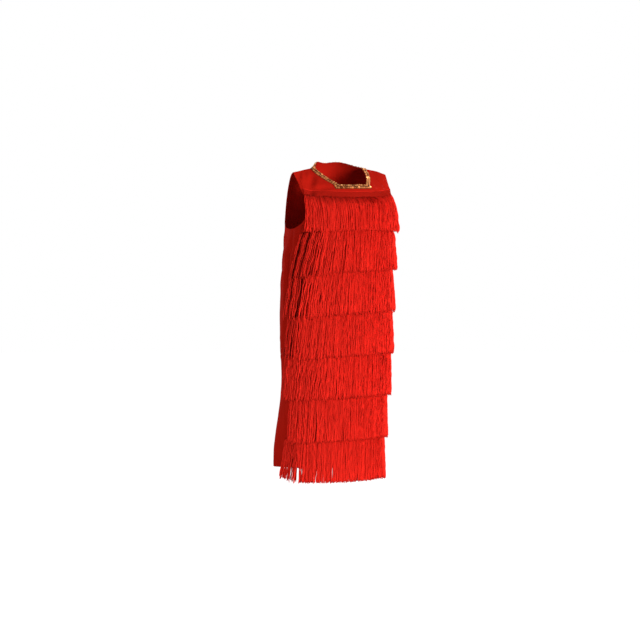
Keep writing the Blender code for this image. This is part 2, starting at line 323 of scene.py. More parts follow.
def neckPlace(strap, front):
    corner = dress["neckCorner" if front else "backCorner"]
    if strap < 0:
        x = corner * (1 + strap / grid["neckColumn"])
        return x, neckRowHeight(x, front)
    return strapPlace(strap, 0, front)


def footPlace(strap, front):
    corner = dress["neckCorner" if front else "backCorner"]
    outer = neckEdges(0, front)[1]
    turn = outer if front else 0.5 * (corner + outer)
    if strap < 0:
        x = corner * (1 + strap / grid["neckColumn"])
    elif strap <= 1:
        x = mix(corner, turn, strap)
    elif strap <= 2:
        x = mix(turn, strapPlace(2, 0, front)[0], strap - 1)
    else:
        x = strapPlace(strap, 0, front)[0]
    if front:
        return x, -dress["neckDrop"] - dress["trimFall"]
    return x, shoulderLine(x, front) - dip(backTrimEdge, min(x, turn))


# x and height of a place, from its column and row, which need not be whole numbers
def placeAt(column, row, front):
    sign = 1 if column >= middleColumn else -1
    out = abs(column - middleColumn)
    strap = out - grid["neckColumn"]
    angle = pi * out / grid["columns"]
    underarm = dress["underarm"]
    if row <= grid["bodyRows"]:
        height = mix(dress["hem"], underarm, row / grid["bodyRows"])
        x = levelX(height, angle)
    elif row <= grid["footRow"]:
        share = (row - grid["bodyRows"]) / (grid["footRow"] - grid["bodyRows"])
        share = share ** grid["chestCrowding"]
        footX, footHeight = footPlace(strap, front)
        endX, _ = footPlace(middleColumn - grid["neckColumn"], front)
        height = mix(underarm, footHeight, share)
        even = sin(angle) ** (2 / sectionAt(underarm, "square"))
        x = armholeX(height) * mix(even, footX / endX, smooth(share))
    elif row <= grid["neckRow"]:
        footX, footHeight = footPlace(strap, front)
        neckX, neckHeight = neckPlace(strap, front)
        x = mix(footX, neckX, row - grid["footRow"])
        height = mix(footHeight, neckHeight, row - grid["footRow"])
    else:
        share = (row - grid["neckRow"]) / (grid["topRow"] - grid["neckRow"])
        crowding = grid["frontCrowding" if front else "backCrowding"]
        x, height = strapPlace(max(0.0, strap), 1 - (1 - share) ** crowding, front)
    return sign * x, height


def placeBearing(place, front):
    x, height = place
    limit = 90.0 - degrees(0.5 * dress["seamGap"] / sectionAt(height, "front"))
    bearing = clamp(bearingOf(x, height), -limit, limit)
    return bearing if front else 180.0 - bearing


# Creases: a soft trough from one place to another, each place a bearing and a height, with
# its half width and its depth. A negative depth is a ridge.
Crease = namedtuple("Crease", "bearing0 height0 bearing1 height1 width depth")
creases = (
    # front, from the neckline and the shoulders towards the armholes
    Crease(-33, -0.018, -55, -0.074, 0.0085, 0.0034),
    Crease(-46, -0.008, -64, -0.040, 0.0065, -0.0022),
    Crease(-22, -0.049, -50, -0.064, 0.0055, 0.0018),
    Crease(38, -0.014, 58, -0.066, 0.0080, 0.0030),
    Crease(50, -0.006, 64, -0.032, 0.0060, -0.0020),
    Crease(18, -0.050, 44, -0.062, 0.0055, 0.0015),
    # front, down the sides beside the fringe
    Crease(-88, -0.165, -70, -0.235, 0.0090, 0.0026),
    Crease(-84, -0.160, -85, -0.330, 0.0070, 0.0055),
    Crease(-98, -0.172, -100, -0.440, 0.0100, -0.0034),
    Crease(-86, -0.200, -66, -0.290, 0.0080, -0.0015),
    Crease(86, -0.168, 70, -0.240, 0.0080, 0.0022),
    Crease(-80, -0.330, -84, -0.560, 0.0110, 0.0022),
    Crease(-72, -0.520, -80, -0.712, 0.0120, 0.0026),
    Crease(80, -0.300, 83, -0.520, 0.0110, 0.0020),
    Crease(74, -0.540, 80, -0.712, 0.0120, 0.0022),
    # back, drag lines from the armholes and across the shoulder blades
    Crease(-98, -0.160, -126, -0.225, 0.0085, 0.0045),
    Crease(-95, -0.190, -118, -0.285, 0.0080, -0.0027),
    Crease(-114, -0.080, -146, -0.130, 0.0080, 0.0027),
    Crease(98, -0.162, 124, -0.232, 0.0085, 0.0042),
    Crease(95, -0.196, 116, -0.300, 0.0080, -0.0024),
    Crease(116, -0.084, 148, -0.118, 0.0080, 0.0024),
    Crease(-150, -0.040, -165, -0.110, 0.0090, 0.0021),
    Crease(152, -0.036, 168, -0.100, 0.0090, 0.0019),
    # back, the long hanging folds
    Crease(-132, -0.230, -128, -0.700, 0.0140, 0.0063),
    Crease(-146, -0.300, -141, -0.712, 0.0110, -0.0036),
    Crease(-163, -0.170, -162, -0.560, 0.0130, 0.0045),
    Crease(-174, -0.380, -176, -0.714, 0.0120, 0.0033),
    Crease(174, -0.190, 166, -0.640, 0.0140, 0.0054),
    Crease(156, -0.280, 152, -0.713, 0.0110, -0.0033),
    Crease(143, -0.210, 134, -0.610, 0.0130, 0.0051),
    Crease(124, -0.380, 122, -0.712, 0.0110, 0.0039),
    Crease(106, -0.250, 104, -0.600, 0.0100, 0.0030),
    Crease(-110, -0.280, -104, -0.500, 0.0100, 0.0033),
    # back, the slack at the waist
    Crease(-150, -0.455, -112, -0.420, 0.0090, 0.0027),
    Crease(150, -0.470, 112, -0.438, 0.0090, 0.0024),
    Crease(-176, -0.500, -140, -0.520, 0.0080, 0.0018),
)
metresPerDegree = 0.0021  # across the cloth
creasing = {
    "overrun": 0.15,  # shares of a crease's length
    "fade": 0.4,
    "troughBow": 0.060,
    "ridgeBow": -0.048,
    "startWidth": 0.75,  # shares of its width
    "widening": 0.6,
    "reach": 4,
    "lipDepth": 0.42,
    "lipAt": 1.7,
    "lipSpread": 0.8,
    "unevenness": ((26, 0.0006), (90, 0.00022)),
    "seamFade": 0.014,
}


# How far the cloth stands out of its plain form in creases and small unevenness. Each crease
# has a lip on both sides, and all of it dies away at the shoulder seam.
def creaseAt(bearing, height):
    bearing = wrapped(bearing)
    overrun = creasing["overrun"]
    total = 0.0
    for c in creases:
        dx = (c.bearing1 - c.bearing0) * metresPerDegree
        dz = c.height1 - c.height0
        away = wrapped(bearing - c.bearing0) * metresPerDegree
        up = height - c.height0
        length = hypot(dx, dz)
        share = (away * dx + up * dz) / (length * length)
        if -overrun < share < 1 + overrun:
            inside = clamp(share)
            bow = creasing["troughBow" if c.depth > 0 else "ridgeBow"] * length * sin(pi * inside)
            across = (away * dz - up * dx) / length - bow
            wide = c.width * (creasing["startWidth"] + creasing["widening"] * inside)
            if abs(across) < creasing["reach"] * wide:
                strength = smooth((share + overrun) / creasing["fade"])
                strength *= smooth((1 + overrun - share) / creasing["fade"])
                t = across / wide
                lips = creasing["lipDepth"] * exp(-(abs(t) - creasing["lipAt"]) ** 2 / creasing["lipSpread"])
                total -= c.depth * strength * (exp(-t * t) - lips)
    spot = Vector((bearing * metresPerDegree, height, 0.0))
    total += sum(size * noise.noise(spot * scale) for scale, size in creasing["unevenness"])
    drop = shoulderLine(rawPoint(bearing, height)[0], abs(bearing) < 90) - height
    return total * smooth(drop / creasing["seamFade"])


# A point at an offset from the cloth's outer face, with the way out of the cloth there
def onCloth(bearing, height, offset):
    normal = outward(bearing, height)
    return clothPoint(bearing, height) + (offset + creaseAt(bearing, height)) * normal, normal


def onPanel(place, front, offset):
    return onCloth(placeBearing(place, front), place[1], offset)


def plainPoint(place, front):
    return clothPoint(placeBearing(place, front), place[1])


# Materials
colours = {
    "cloth": (0.465, 0.0110, 0.0052),
    "clothDeep": (0.365, 0.0082, 0.0038),
    "fringe": (0.86, 0.0235, 0.0135),
    "fringeDeep": (0.10, 0.0022, 0.0010),
    "tapeDeep": (0.21, 0.0055, 0.0026),
    "gold": (0.98, 0.43, 0.16),
    "goldDeep": (0.26, 0.075, 0.016),
    "goldThread": (0.20, 0.055, 0.016),
    "netDeep": (0.060, 0.010, 0.004),
}


# The sheen is its weight and its roughness
def newMaterial(name, roughness, specular, metallic=0.0, sheen=(0.0, 0.5), sheenTint=(1, 1, 1)):
    made = bpy.data.materials.new(name)
    made.use_nodes = True
    shader = made.node_tree.nodes["Principled BSDF"]
    shader.inputs["Roughness"].default_value = roughness
    shader.inputs["Metallic"].default_value = metallic
    shader.inputs["IOR"].default_value = 1.15
    shader.inputs["Specular IOR Level"].default_value = specular
    shader.inputs["Sheen Weight"].default_value = sheen[0]
    shader.inputs["Sheen Roughness"].default_value = sheen[1]
    shader.inputs["Sheen Tint"].default_value = (*sheenTint, 1)
    return made, made.node_tree, shader


def addNode(tree, kind, **values):
    node = tree.nodes.new(kind)
    for key, value in values.items():
        if key in node.inputs:
            node.inputs[key].default_value = value
        else:
            setattr(node, key, value)
    return node


def twoColours(tree, factor, low, high):
    blend = addNode(tree, "ShaderNodeMix", data_type="RGBA")
    blend.inputs[6].default_value = (*low, 1)
    blend.inputs[7].default_value = (*high, 1)
    tree.links.new(factor, blend.inputs[0])
    return blend.outputs[2]


def mapRange(tree, value, low, high, toLow=0.0, toHigh=1.0):
    node = addNode(tree, "ShaderNodeMapRange")
    for slot, number in zip((1, 2, 3, 4), (low, high, toLow, toHigh)):
        node.inputs[slot].default_value = number
    tree.links.new(value, node.inputs[0])
    return node.outputs[0]


def math(tree, operation, first, second=None):
    node = addNode(tree, "ShaderNodeMath", operation=operation)
    for slot, value in enumerate((first, second)):
        if isinstance(value, (int, float)):
            node.inputs[slot].default_value = value
        elif value is not None:
            tree.links.new(value, node.inputs[slot])
    return node.outputs[0]


# Sum of some values, each times its weight
def weighted(tree, *parts):
    total = None
    for value, weight in parts:
        part = value if weight == 1 else math(tree, "MULTIPLY", value, weight)
        total = part if total is None else math(tree, "ADD", total, part)
    return total


def ripples(tree, value, pitch):
    return math(tree, "SINE", math(tree, "MULTIPLY", value, 2 * pi / pitch))


def grain(tree, place, scale, detail):
    node = addNode(tree, "ShaderNodeTexNoise", Scale=scale, Detail=detail)
    tree.links.new(place, node.inputs["Vector"])
    return node.outputs[0]


def attribute(tree, name):
    return addNode(tree, "ShaderNodeAttribute", attribute_name=name).outputs["Fac"]


def objectPlace(tree):
    return addNode(tree, "ShaderNodeTexCoord").outputs["Object"]


# Place on the woven cloth or tape, whole and as its two directions
def weavePlace(tree):
    uv = addNode(tree, "ShaderNodeUVMap", uv_map="weave").outputs["UV"]
    split = addNode(tree, "ShaderNodeSeparateXYZ")
    tree.links.new(uv, split.inputs[0])
    return uv, split.outputs[0], split.outputs[1]


def bump(tree, height, distance, strength, under=None):
    node = addNode(tree, "ShaderNodeBump", Distance=distance, Strength=strength)
    tree.links.new(height, node.inputs["Height"])
    if under is not None:
        tree.links.new(under, node.inputs["Normal"])
    return node.outputs["Normal"]


# Links what a material has worked out to its shader
def joinUp(tree, shader, colour, relief, roughness=None):
    tree.links.new(colour, shader.inputs["Base Color"])
    tree.links.new(relief, shader.inputs["Normal"])
    if roughness is not None:
        tree.links.new(roughness, shader.inputs["Roughness"])


# Plain-weave satin-backed polyester, raised where the hems are turned
clothFinish = {
    "threadPitch": 0.00055,
    "slubScale": (900, 60, 1),
    "cloudScale": 22.0,
    "slubTone": 0.45,
    "weaveTone": 0.12,
    "cloudTone": 0.55,
    "hemEdge": (0.0078, 0.0092),
    "hemRelief": 0.0006,
    "weaveRelief": 0.00012,
}


def clothMaterial():
    made, tree, shader = newMaterial("redCloth", 0.58, 0.03, sheen=(0.08, 0.4), sheenTint=(1.0, 0.02, 0.01))
    uv, across, down = weavePlace(tree)
    warp = ripples(tree, across, clothFinish["threadPitch"])
    weft = ripples(tree, down, clothFinish["threadPitch"])
    weave = math(tree, "MULTIPLY", warp, weft)
    stretch = addNode(tree, "ShaderNodeMapping", Scale=clothFinish["slubScale"])
    tree.links.new(uv, stretch.inputs["Vector"])
    slub = grain(tree, stretch.outputs[0], 1.0, 3.0)
    cloud = grain(tree, uv, clothFinish["cloudScale"], 2.0)
    shade = weighted(tree, (slub, clothFinish["slubTone"]), (weave, clothFinish["weaveTone"]),
                     (cloud, clothFinish["cloudTone"]))
    colour = twoColours(tree, mapRange(tree, shade, 0.25, 0.75), colours["clothDeep"], colours["cloth"])
    fine = bump(tree, math(tree, "ADD", weave, slub), clothFinish["weaveRelief"], 0.5)
    fold = mapRange(tree, attribute(tree, "hemDistance"), *clothFinish["hemEdge"], 1.0, 0.0)
    relief = bump(tree, fold, clothFinish["hemRelief"], 0.9, fine)
    joinUp(tree, shader, colour, relief, mapRange(tree, slub, 0.3, 0.7, 0.5, 0.66))
    return made


# Glossy chainette yarn: a tone for each strand, with painted shade in it, paler loops of the chain, and
# painted shade near the tape
yarnFinish = {
    "chainPitch": 0.0021,
    "chainTone": 0.055,
    "fuzzScale": 700.0,
    "fuzzTone": 0.22,
    # The painted shade near the tape: its darkest share, and the length down over which it fades
    "paintedRootShade": 0.55,
    "paintedRootShadeReach": 0.018,
    "relief": 0.00035,
}


def yarnMaterial():
    made, tree, shader = newMaterial("redYarn", 0.42, 0.15, sheen=(0.1, 0.35), sheenTint=(1.0, 0.05, 0.02))
    down = attribute(tree, "down")
    chain = ripples(tree, down, yarnFinish["chainPitch"])
    fuzz = grain(tree, objectPlace(tree), yarnFinish["fuzzScale"], 2.0)
    tone = weighted(tree, (attribute(tree, "tone"), 1), (chain, yarnFinish["chainTone"]),
                    (math(tree, "SUBTRACT", fuzz, 0.5), yarnFinish["fuzzTone"]))
    # Painted shade: the yarn is darker near the tape
    root = mapRange(tree, down, 0.0, yarnFinish["paintedRootShadeReach"], yarnFinish["paintedRootShade"], 1.0)
    tone = math(tree, "MULTIPLY", tone, root)
    relief = bump(tree, weighted(tree, (chain, 0.6), (fuzz, 1)), yarnFinish["relief"], 0.7)
    joinUp(tree, shader, twoColours(tree, tone, colours["fringeDeep"], colours["fringe"]), relief)
    return made


# The woven heading of the fringe: upright cords side by side
tapeFinish = {
    "cordPitch": 0.0014,
    "cordStripesAndHighlight": 0.1,
    "rowPitch": 0.0030,
    "rowRelief": 0.35,
    "fuzzScale": 420.0,
    "fuzzTone": 0.4,
    "relief": 0.0003,
}


def tapeMaterial():
    made, tree, shader = newMaterial("redTape", 0.5, 0.0)
    uv, across, down = weavePlace(tree)
    cords = ripples(tree, across, tapeFinish["cordPitch"])
    rows = ripples(tree, down, tapeFinish["rowPitch"])
    fuzz = grain(tree, uv, tapeFinish["fuzzScale"], 3.0)
    # The tone attribute brings the painted light on covered tape and the painted highlight on the first
    # tape's cord
    tone = weighted(tree, (cords, tapeFinish["cordStripesAndHighlight"]), (fuzz, tapeFinish["fuzzTone"]),
                    (attribute(tree, "tone"), 1))
    relief = weighted(tree, (cords, 1), (rows, tapeFinish["rowRelief"]))
    relief = bump(tree, relief, tapeFinish["relief"], 0.6)
    joinUp(tree, shader, twoColours(tree, tone, colours["tapeDeep"], colours["fringe"]), relief)
    return made


# Gold sequins, each a little different in tone, with fine scratches
sequinFinish = {
    "wearScale": 900.0,
    "wearTone": 0.4,
    "wearRoughness": (0.37, 0.50),
    "relief": 0.0001,
}


def sequinMaterial():
    made, tree, shader = newMaterial("goldSequins", 0.3, 0.5, metallic=0.75)
    wear = grain(tree, objectPlace(tree), sequinFinish["wearScale"], 3.0)
    tone = weighted(tree, (attribute(tree, "tone"), 1),
                    (math(tree, "SUBTRACT", wear, 0.5), sequinFinish["wearTone"]))
    rough = mapRange(tree, wear, 0.3, 0.7, *sequinFinish["wearRoughness"])
    relief = bump(tree, wear, sequinFinish["relief"], 0.35)
    joinUp(tree, shader, twoColours(tree, tone, colours["goldDeep"], colours["gold"]), relief, rough)
    return made


# The net that the sequins are sewn to, and sewing thread
def threadMaterial(name, deep, pale, pitch):
    made, tree, shader = newMaterial(name, 0.6, 0.1)
    twist = grain(tree, objectPlace(tree), 1.0 / pitch, 2.0)
    colour = twoColours(tree, mapRange(tree, twist, 0.3, 0.7), colours[deep], colours[pale])
    joinUp(tree, shader, colour, bump(tree, twist, 0.0003, 0.8))
    return made


redCloth = clothMaterial()
redYarn = yarnMaterial()
redTape = tapeMaterial()
goldSequins = sequinMaterial()
goldNet = threadMaterial("goldNet", "netDeep", "goldThread", pitch=0.0008)
redThread = threadMaterial("redThread", "clothDeep", "fringe", pitch=0.0006)
print("materials ready")


def addObject(name, data):
    made = bpy.data.objects.new(name, data)
    bpy.context.collection.objects.link(made)
    return made


def meshData(name, mesh, material):
    data = bpy.data.meshes.new(name)
    mesh.to_mesh(data)
    mesh.free()
    data.materials.append(material)
    return data


# Faces with flatSides sides, the cut ends of the strands, stay flat
def finishPiece(name, mesh, material, smoothAngle=50, flatSides=0):
    data = meshData(name, mesh, material)
    piece = addObject(name, data)
    data.shade_smooth()
    data.set_sharp_from_angle(angle=radians(smoothAngle))
    for face in data.polygons:
        if face.loop_total == flatSides:
            face.use_smooth = False
    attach(piece, "root")
    return piece


# Lays the pattern of the weave by the flat place that each vertex carries
def layWeave(mesh, flat):
    uv = mesh.loops.layers.uv.new("weave")
    for face in mesh.faces:
        for loop in face.loops:
            loop[uv].uv = loop.vert[flat].xy


# Gives an open sheet its thickness: each vertex's copy moves by the vector it carries
def thicken(mesh, inward):
    made = bmesh.ops.extrude_face_region(mesh, geom=mesh.faces[:])
    for item in made["geom"]:
        if isinstance(item, bmesh.types.BMVert):
            item.co += item[inward]
    bmesh.ops.recalc_face_normals(mesh, faces=mesh.faces[:])


# Front and back panels
panel = {
    "finePerColumn": 4,
    "hemRows": (0, 0.0012, 0.003, 0.0065, 0.010, 0.0128, 0.0140, 0.0152, 0.0185, 0.023),
    "bodyPitch": 0.0064,
    "finePerRow": 4,
    "thickness": 0.0009,
    "hemWidth": 0.0085,
    "bottomHemWidth": 0.014,
    "hemFold": 0.0007,
    "foldLift": 0.35,  # share of the fold that shows outside
    "foldEdge": 0.001,
    "calmBesideSeam": 0.012,
    "armholeBlend": 0.03,
    "seamSink": 0.0006,
    "seamWidth": 0.0016,
    "pucker": 0.0003,
    "puckerPitch": 0.013,
    "puckerWidth": 0.006,
}


# The grid's rows, crowded where the bottom hem turns and ends
def panelRows():
    body = dress["underarm"] - dress["hem"]
    heights = list(panel["hemRows"])
    left = body - heights[-1]
    steps = round(left / panel["bodyPitch"])
    heights += [heights[-1] + left * (k + 1) / steps for k in range(steps)]
    rows = [height / body * grid["bodyRows"] for height in heights]
    above = grid["topRow"] - grid["bodyRows"]
    rows += [grid["bodyRows"] + (k + 1) / panel["finePerRow"] for k in range(above * panel["finePerRow"])]
    return rows


def makePanel(name, front):
    rowsAt = panelRows()
    columns = grid["columns"] * panel["finePerColumn"]
    mesh = bmesh.new()
    bmesh.ops.create_grid(mesh, x_segments=columns, y_segments=len(rowsAt) - 1, size=0.5)

    def columnRow(co):
        return (co.x + 0.5) * grid["columns"], rowsAt[round((co.y + 0.5) * (len(rowsAt) - 1))]

    neck = []
    for face in mesh.faces:
        middle = face.calc_center_median()
        row = rowsAt[int((middle.y + 0.5) * (len(rowsAt) - 1))]
        off = abs(middle.x) * grid["columns"]
        if off < grid["neckColumn"] and row >= grid["neckRow"]:
            neck.append(face)
    bmesh.ops.delete(mesh, geom=neck, context="FACES")
    inward = mesh.verts.layers.float_vector.new("inward")
    hemDistance = mesh.verts.layers.float.new("hemDistance")
    flat = mesh.verts.layers.float_vector.new("flat")
    edges = {}
    for vertex in mesh.verts:
        column, row = columnRow(vertex.co)
        x, height = placeAt(column, row, front)
        bearing = placeBearing((x, height), front)
        point = clothPoint(bearing, height)
        normal = outward(bearing, height)
        side = 0 if column < middleColumn else grid["columns"]
        if (row, side) not in edges:
            edges[row, side] = plainPoint(placeAt(side, row, front), front)
        away = (point - edges[row, side]).length
        # hemmed is the distance from a turned edge, shifted so that each fold ends at hemWidth
        if row > grid["bodyRows"]:
            hemmed = away
            seam = 1.0  # no seam nearby
        else:
            hemmed = height - dress["hem"] - panel["bottomHemWidth"] + panel["hemWidth"]
            seam = away
        fold = 1 - smooth((hemmed - panel["hemWidth"] + panel["foldEdge"]) / panel["foldEdge"])
        nearArmhole = smooth((height - dress["underarm"] + panel["armholeBlend"]) / panel["armholeBlend"])
        lift = creaseAt(bearing, height) * mix(1.0, smooth(away / panel["calmBesideSeam"]), nearArmhole)
        lift += panel["foldLift"] * panel["hemFold"] * fold
        lift -= panel["seamSink"] * exp(-(seam / panel["seamWidth"]) ** 2)
        pucker = panel["pucker"] * sin(height * 2 * pi / panel["puckerPitch"])
        lift += pucker * exp(-(seam / panel["puckerWidth"]) ** 2)
        if row == grid["topRow"]:
            point.y += (-0.5 if front else 0.5) * dress["seamGap"]
        vertex[flat] = ((bearing if front else bearing - 180) * metresPerDegree, height, 0)
        vertex[hemDistance] = hemmed
        vertex[inward] = -(panel["thickness"] + panel["hemFold"] * fold) * normal
        vertex.co = point + lift * normal
    layWeave(mesh, flat)
    thicken(mesh, inward)
    piece = finishPiece(name, mesh, redCloth)
    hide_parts("front" if front else "back")
    return piece


frontPanel = makePanel("front_panel", True)
backPanel = makePanel("back_panel", False)
print("panels ready")

# The tiers of fringe, top to bottom: height of the tape's upper edge in front, rise of its
# two ends, their bearings, drop to the tips, how much lower the tips hang at the wearer's
# right side, how far they stand off the cloth, the lean of the strands at the right side,
# front and left end in degrees, and how loosely they hang
Tier = namedtuple("Tier", "top bow start stop drop sag flare leanSide leanFront leanLeft loose")
tiers = (
    Tier(-0.059, 0.008, -60.5, 61.0, 0.094, 0.003, 0.019, 0.0, -1.0, 1.0, 0.55),
    Tier(-0.146, -0.016, -69.0, 74.0, 0.104, 0.016, 0.017, -10.0, -2.0, 1.0, 1.00),
    Tier(-0.246, 0.000, -81.0, 87.0, 0.104, 0.010, 0.014, -5.5, -2.0, 1.0, 1.05),
    Tier(-0.346, 0.000, -80.5, 87.0, 0.104, 0.006, 0.014, -4.5, -1.5, 1.0, 1.00),
    Tier(-0.446, 0.000, -83.0, 87.0, 0.103, 0.004, 0.015, -4.5, -1.0, 1.0, 0.85),
    Tier(-0.546, 0.000, -77.5, 87.0, 0.105, 0.005, 0.014, -3.0, -1.0, 1.0, 0.62),
    Tier(-0.647, 0.000, -87.0, 87.0, 0.103, 0.000, 0.012, -1.5, -1.0, 0.0, 0.28),
)
# The strands at a tier's right end, up to a bearing: the share left out, how much more
# loosely they hang, how much painted shade darkens them, most of all the inner ones, the
# extra lean and rise of the tips at the very end, and over how many degrees beside the end
# they stop at the hem
End = namedtuple("End", "bearing thin loose shade lean rise short")
ends = {
    2: End(-40.0, 0.62, 1.5, 1.00, 0.0, 0.000, 0.0),
    3: End(-48.0, 0.58, 1.4, 1.15, 0.0, 0.004, 0.0),
    4: End(-56.0, 0.52, 1.2, 0.70, 0.0, 0.003, 0.0),
    5: End(-76.0, 0.20, 1.2, 0.10, 0.0, 0.002, 0.0),
    6: End(-70.0, 0.10, 1.0, 0.00, 0.0, 0.000, 0.0),
    7: End(-65.5, 0.30, 2.2, 0.00, -10.5, 0.010, 2.6),
}
noEnd = End(-180.0, 0.0, 1.0, 0.0, 0.0, 0.0, 0.0)
tape = {
    "height": 0.018,
    "gap": 0.0005,
    "thickness": 0.0014,
    "pitch": 0.0035,
    "rowsAt": (0, 0.05, 0.14, 0.3, 0.5, 0.7, 0.88, 1.0),
    "rise": 0.0190,
    # Tones of the tape: darker where no tier above hangs over it, painted light where one does, which
    # cancels the shade below the tips, and a painted highlight along the first tape's corded top edge from a
    # share of its height up
    "bareTone": 0.0,
    "coveredPaintedLightTone": 0.8,
    "cordStripesAndHighlight": 1.1,
    "paintedHighlightFrom": 0.9,
    "cordHeight": 0.0006,
    "cordAt": 0.93,
    "cordWidth": 0.06,
    "edgeFall": 0.0007,
    "edgeFrom": 0.97,
    "pucker": 0.00025,
    "puckerScale": (90, 7, 2),  # along the tape, from tape to tape, and up it
}


# Length from the first of some points to each of them
def lengthsAlong(points):
    lengths = [0.0]
    for before, after in zip(points, points[1:]):
        lengths.append(lengths[-1] + (after - before).length)
    return lengths


# The step between two points in which a length falls, and the share of it that is behind
def stepAt(lengths, wanted):
    k = clamp(bisect_left(lengths, wanted) - 1, 0, len(lengths) - 2)
    return k, (wanted - lengths[k]) / (lengths[k + 1] - lengths[k])


# Bearings that part a level line of the cloth into equal lengths, with that line's length
def evenBearings(height, start, stop, count, steps=240):
    bearings = [mix(start, stop, k / steps) for k in range(steps + 1)]
    lengths = lengthsAlong([clothPoint(bearing, height) for bearing in bearings])
    found = []
    for number in range(count + 1):
        k, share = stepAt(lengths, lengths[-1] * number / count)
        found.append(mix(bearings[k], bearings[k + 1], share))
    return found, lengths[-1]


# The first tape shows whole; the others tuck up behind the tips above them
def tapeTop(tier, bearing):
    rise = 0 if tier is tiers[0] else tape["rise"]
    return tier.top + rise + tier.bow * (bearing / tier.stop) ** 2


# The tape: a flat strip with a corded upper edge
def makeTape(number, tier):
    _, length = evenBearings(tier.top, tier.start, tier.stop, 1)
    count = round(length / tape["pitch"])
    bearings, _ = evenBearings(tier.top, tier.start, tier.stop, count)
    rows = tape["rowsAt"]
    mesh = bmesh.new()
    bmesh.ops.create_grid(mesh, x_segments=count, y_segments=len(rows) - 1, size=0.5)
    inward = mesh.verts.layers.float_vector.new("inward")
    flat = mesh.verts.layers.float_vector.new("flat")
    tone = mesh.verts.layers.float.new("tone")
    above = tiers[number - 2]
    for vertex in mesh.verts:
        column = round((vertex.co.x + 0.5) * count)
        up = rows[round((vertex.co.y + 0.5) * (len(rows) - 1))]
        bearing = bearings[column]
        bare = number == 1 or not above.start < bearing < above.stop
        # Painted light on the covered tape, and a painted highlight along the first tape's corded edge
        vertex[tone] = tape["bareTone" if bare else "coveredPaintedLightTone"]
        if number == 1 and up > tape["paintedHighlightFrom"]:
            vertex[tone] = tape["cordStripesAndHighlight"]
        height = tapeTop(tier, bearing) - tape["height"] * (1 - up)
        along = length * column / count
        cord = tape["cordHeight"] * exp(-((up - tape["cordAt"]) / tape["cordWidth"]) ** 2)
        cord -= tape["edgeFall"] * smooth((up - tape["edgeFrom"]) / (1 - tape["edgeFrom"]))
        spot = Vector(a * b for a, b in zip((along, number, up), tape["puckerScale"]))
        full = tape["thickness"] + cord + tape["pucker"] * noise.noise(spot)
        vertex.co, normal = onCloth(bearing, height, tape["gap"] + full)
        vertex[inward] = -full * normal
        vertex[flat] = (along, height, 0)
    layWeave(mesh, flat)
    thicken(mesh, inward)
    return finishPiece("tape_%d" % number, mesh, redTape)


strand = {
    "pitch": 0.0020,
    "scatter": 0.3,  # share of the pitch
    "margin": 0.0006,
    "layers": (-0.75, -0.25, 0.20, 0.55, 0.90),
    "levelSpread": 0.12,
    "levelLimits": (-1.0, 1.1),
    # The tone of each layer: the inner layers are darker, painted shade between the strands
    "layerTonesWithPaintedShade": (0.62, 0.76, 0.85, 0.90, 0.93),
    "toneSpread": 0.06,
    # Length added to the length down for the yarn's finish: below the first tier it carries the strands past
    # the painted root shade; the first tier draws its own between the two numbers below
    "paintedRootShade": 0.03,
    "firstPaintedRootShade": (0.003, 0.014),
    "radius": 0.00080,
    "tipRadius": 0.00108,
    "rootTaper": 0.72,
    "tipTaper": 0.8,
    "sides": 3,
    "rings": 18,
    "seed": 31,
    # bearings over which the lean changes to the right and left, and its spread, in degrees
    "leanRight": 58.0,
    "leanLeft": 88.0,
    "leanSpread": 0.4,
    # looseness at the wearer's right side and left, and the bearings between which it falls
    "loose": (1.15, 0.30),
    "looseFrom": -75.0,
    "looseOver": 88.0,
    # roots and tips
    "tuck": 0.0015,
    "firstRoots": (-0.001, 0.004),
    "tipLift": 0.0014,
    "tipSpread": (0.0012, 0.0016),  # even the tightest strands have, and the loose ones add
    "innerLayers": 2,
    "innerTipLift": 0.0015,
    "sagFrom": -10.0,
    "sagOver": 65.0,
    "leftFrom": 25.0,
    "leftOver": 35.0,
    "leftTipSpread": 0.0022,
    "shortChance": 0.14,
    "shortBy": (0.002, 0.014),
    "hemSpread": 0.004,
    "endLeanFrom": 0.15,
    # The painted shade at the right ends: the least share of it on the outer layers, and the count of layers
    # over which it falls to that
    "endPaintedShadeLeast": 0.16,
    "endPaintedShadeLayers": 3,
    # how a strand hangs
    "drift": (0.0012, 0.0005),
    "waves": (0.020, 0.046),
    "wave": 0.00045,
    "waveSpread": (0.5, 1.4),
    "waveMost": 0.65,
    "waveRamp": 0.014,
    "offCloth": 0.0012,
    "flareMost": 1.06,
    # the two faces between which the strands lie, as shares of the flare
    "firstStance": (0.22, (0.02, 0.09)),
    "stance": (0.07, (0.08, 0.20)),
    "kneeStance": (0.34, 0.72),
    "leftKneeStance": (0.16, 0.42),
    "tipStance": (0.72, 1.0),
}
clumping = {
    "pitch": 0.0062,
    "spacing": (0.5, 1.7),
    "margins": (-0.002, 0.004),
    "shift": 0.0016,
    "strandShift": 0.0012,
    "pull": (0.05, 0.5),
    "innerPull": 0.1,
    "start": (0.0, 0.3),
    "drawnOver": 0.7,
    "lift": 0.14,
    "waves": (0.030, 0.075),
    "wave": 0.0008,
}


# Degrees by which the strands lean to one side from root to tip
def leanAt(tier, bearing):
    if bearing < 0:
        inwards = smooth((bearing + strand["leanRight"]) / strand["leanRight"])
        return mix(tier.leanSide, tier.leanFront, inwards)
    return mix(tier.leanFront, tier.leanLeft, smooth(bearing / strand["leanLeft"]))


# How loosely the strands hang: most at the wearer's right side, least at the left
def looseness(bearing):
    return mix(*strand["loose"], smooth((bearing - strand["looseFrom"]) / strand["looseOver"]))


